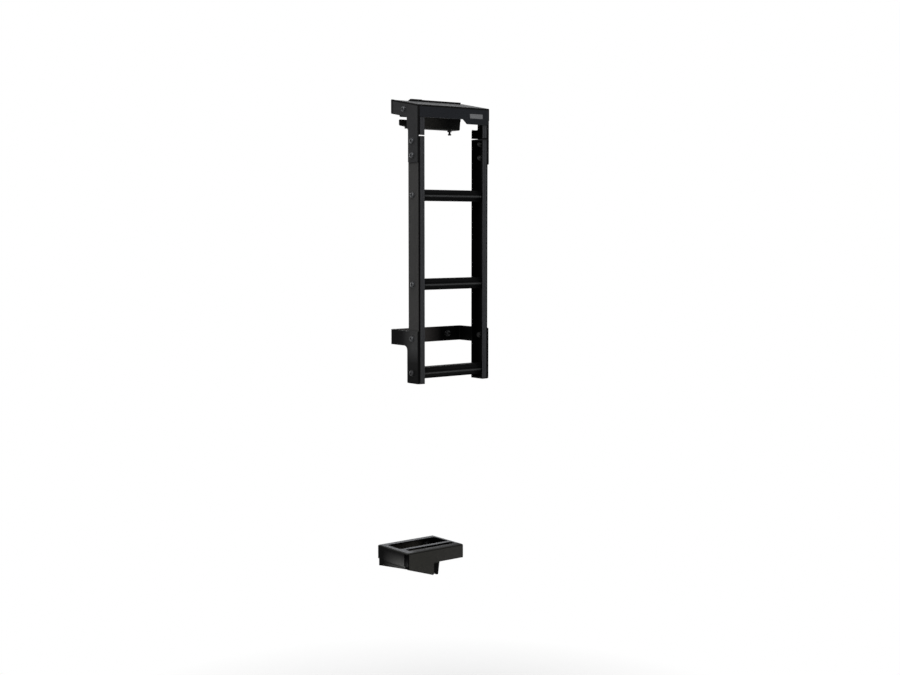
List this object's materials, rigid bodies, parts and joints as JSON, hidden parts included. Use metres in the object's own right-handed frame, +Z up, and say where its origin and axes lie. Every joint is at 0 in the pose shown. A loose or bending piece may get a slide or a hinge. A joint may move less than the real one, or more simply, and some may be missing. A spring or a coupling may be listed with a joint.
{
  "type": "vehicle rear ladder with bumper step",
  "caption": "Narrow rear ladder for a vehicle, hung from the roof gutter and bolted to the body, with a folded tray step for the bumper.",
  "frame": {"origin": "centre of the lower bracket's back face, where it meets the vehicle's body", "axes": "+X to the right along the vehicle's rear face, +Y towards the front of the vehicle, +Z up along the stiles"},
  "size_m": [0.281, 0.148, 1.1941],
  "materials": {
    "extrusion": "black anodised satin",
    "coated_plate": "black powder coat, satin",
    "plastic": "moulded matte",
    "rubber": "matte",
    "bare_metal": "grey anodised, brushed",
    "bolt_steel": "dark passivated steel",
    "step_steel": "black powder coat"
  },
  "bodies": {
    "root": {"left_stile": "extrusion", "right_stile": "extrusion", "left_foot_cap": "plastic", "right_foot_cap": "plastic", "left_top_cap": "plastic", "right_top_cap": "plastic", "rung_1": "extrusion", "rung_2": "extrusion", "rung_3": "extrusion", "lower_bracket": "coated_plate", "upper_left_plate": "coated_plate", "upper_right_plate": "coated_plate", "left_top_block": "extrusion", "right_top_block": "extrusion", "top_fascia": "coated_plate", "blank_plate": "bare_metal", "top_tread": "extrusion", "gutter_hook": "coated_plate", "gutter_clamp": "coated_plate", "upper_gutter_pad": "rubber", "lower_gutter_pad": "rubber", "left_clamp_bolt": "bolt_steel", "right_clamp_bolt": "bolt_steel", "step_tray": "step_steel", "step_bracket": "step_steel"}
  },
  "joints": []
}
